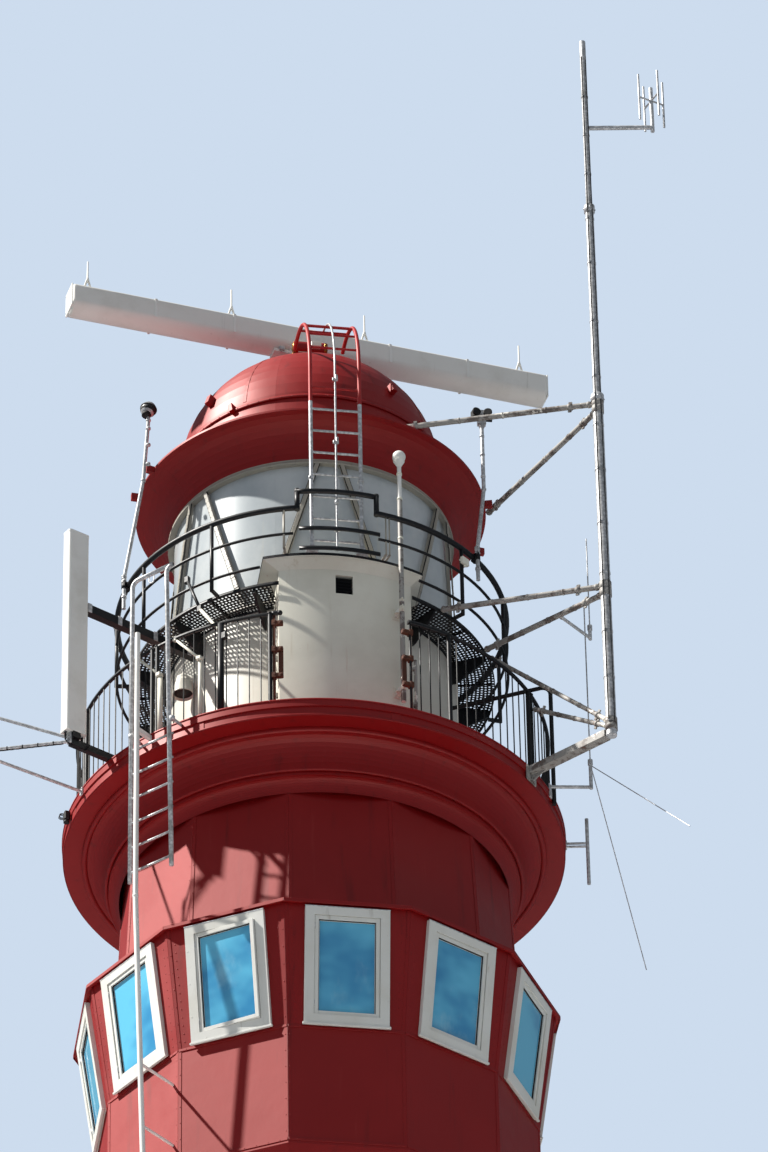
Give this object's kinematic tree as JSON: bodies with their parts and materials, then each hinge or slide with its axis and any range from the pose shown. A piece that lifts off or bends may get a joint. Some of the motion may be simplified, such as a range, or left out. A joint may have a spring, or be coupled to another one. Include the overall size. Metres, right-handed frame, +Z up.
{
  "type": "lighthouse",
  "caption": "Tall round lighthouse with a twelve-sided lookout cab, a gallery, a glazed lantern under a dome, a turning radar scanner and an aerial mast.",
  "frame": {"origin": "middle of the tower's underside, on the ground", "axes": "+Z up along the tower; -Y is the side with the ground door, the housing and the roof ladder"},
  "size_m": [8.5996, 8.5998, 39.65],
  "materials": {
    "tower_paint": "painted masonry, matt",
    "floor_stone": "worn stone",
    "cab_paint": "satin red paint, slightly faded",
    "frame_paint": "white satin paint",
    "window_glass": "blue tinted, glossy",
    "frame_wood": "painted wood",
    "door_wood": "dark green painted boards",
    "white_paint": "off-white paint",
    "cream_paint": "cream paint with rust runs",
    "black_paint": "black paint, scuffed",
    "rusty_steel": "grey paint with rust",
    "lantern_glass": "clear, slightly milky",
    "ladder_paint": "red paint, chipped",
    "galvanized": "galvanized, weathered",
    "scanner_shell": "white glass fibre",
    "aerial_shell": "white glass fibre"
  },
  "bodies": {
    "tower": {"plinth": "tower_paint", "ground_floor": "floor_stone", "shaft_base": "tower_paint", "shaft_lower": "tower_paint", "shaft_middle": "tower_paint", "shaft_upper": "tower_paint", "shaft_top": "tower_paint", "shaft_window_frames": "frame_paint", "shaft_window_glass": "window_glass", "door_frame": "frame_wood", "door_leaf": "door_wood", "cab_soffit": "cab_paint", "cab_floor": "cab_paint", "cab_lower_wall": "cab_paint", "cab_window_wall": "cab_paint", "cab_window_frames": "frame_paint", "cab_window_glass": "window_glass", "cab_roof": "cab_paint", "neck": "cab_paint", "cornice": "cab_paint", "gallery_deck": "cab_paint", "gallery_railing": "black_paint", "drum": "white_paint", "drum_vents": "white_paint", "housing_wall": "cream_paint", "housing_roof": "cream_paint", "housing_brackets": "rusty_steel", "walkway_grating": "black_paint", "walkway_brackets": "black_paint", "upper_handrail": "black_paint", "lantern_bars": "cream_paint", "lantern_glass": "lantern_glass", "lantern_roof": "cab_paint", "dome": "cab_paint", "dome_lugs": "cab_paint", "roof_ladder": "galvanized", "dome_ladder": "ladder_paint", "arrest_rail": "galvanized", "scanner_pedestal": "cab_paint", "mast": "galvanized", "mast_struts": "rusty_steel", "mast_beam": "rusty_steel", "mast_head_aerial": "galvanized", "whip_aerials": "galvanized", "edge_aerial": "galvanized", "panel_aerial": "aerial_shell", "panel_arms": "black_paint", "side_mount": "galvanized", "side_ladder": "galvanized", "conduit": "aerial_shell", "hoop_tube": "black_paint", "camera_pole": "galvanized", "lamp_pole": "galvanized", "radome_pole": "aerial_shell"},
    "scanner": {"scanner_hub": "scanner_shell", "scanner_bar": "scanner_shell", "scanner_spikes": "scanner_shell"}
  },
  "joints": [
    {"name": "scanner_spin", "type": "hinge", "parent": "tower", "child": "scanner", "pos_m": [0, 0, 36.9], "axis": [0, 0, 1], "continuous": true}
  ]
}
